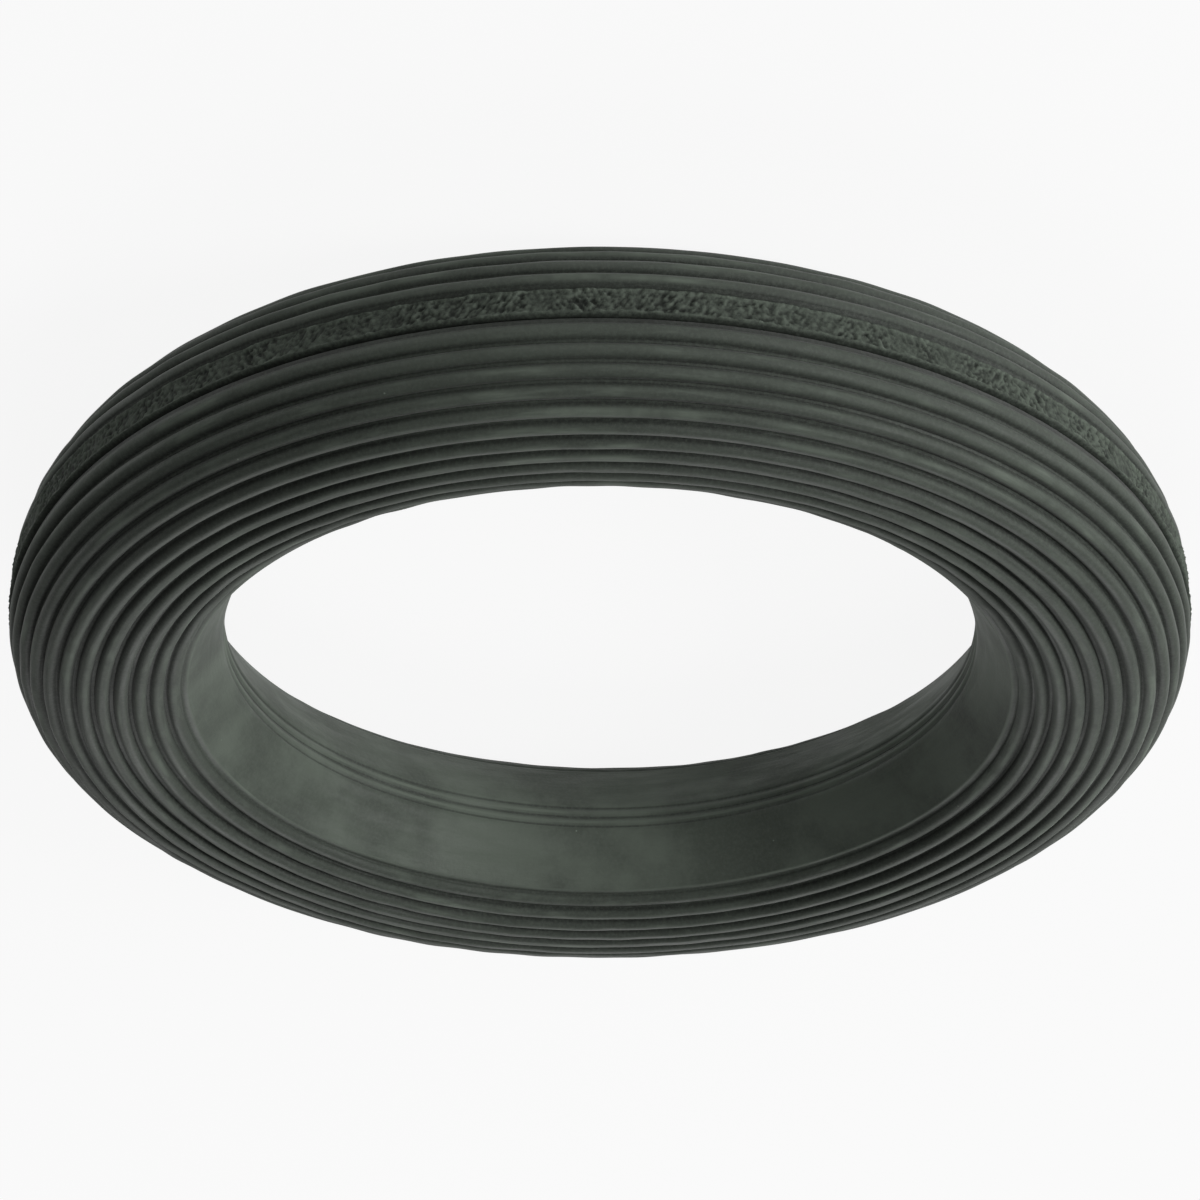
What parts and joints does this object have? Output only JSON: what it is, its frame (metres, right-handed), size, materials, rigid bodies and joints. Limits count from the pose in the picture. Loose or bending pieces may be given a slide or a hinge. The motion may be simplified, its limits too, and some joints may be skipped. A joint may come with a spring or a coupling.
{
  "type": "toilet flange gasket",
  "caption": "Thick ribbed rubber ring that seals a toilet bowl's outlet to a closet flange or wall connection.",
  "frame": {"origin": "on the ring's axis, in the plane of the lower seal flats that it stands on", "axes": "+Z along the ring's axis, upwards as it lies flat; the ring is round, so X and Y are free"},
  "size_m": [0.1588, 0.1588, 0.0274],
  "materials": {
    "ribbed_rubber": "matte moulded dark grey-green rubber with a dusty bloom on the ribs and a rough buffed seam",
    "sponge_rubber": "matte black closed-cell sponge rubber"
  },
  "bodies": {
    "root": {"upper_ribbed_cover": "ribbed_rubber", "lower_ribbed_cover": "ribbed_rubber", "sponge_core": "sponge_rubber"}
  },
  "joints": []
}
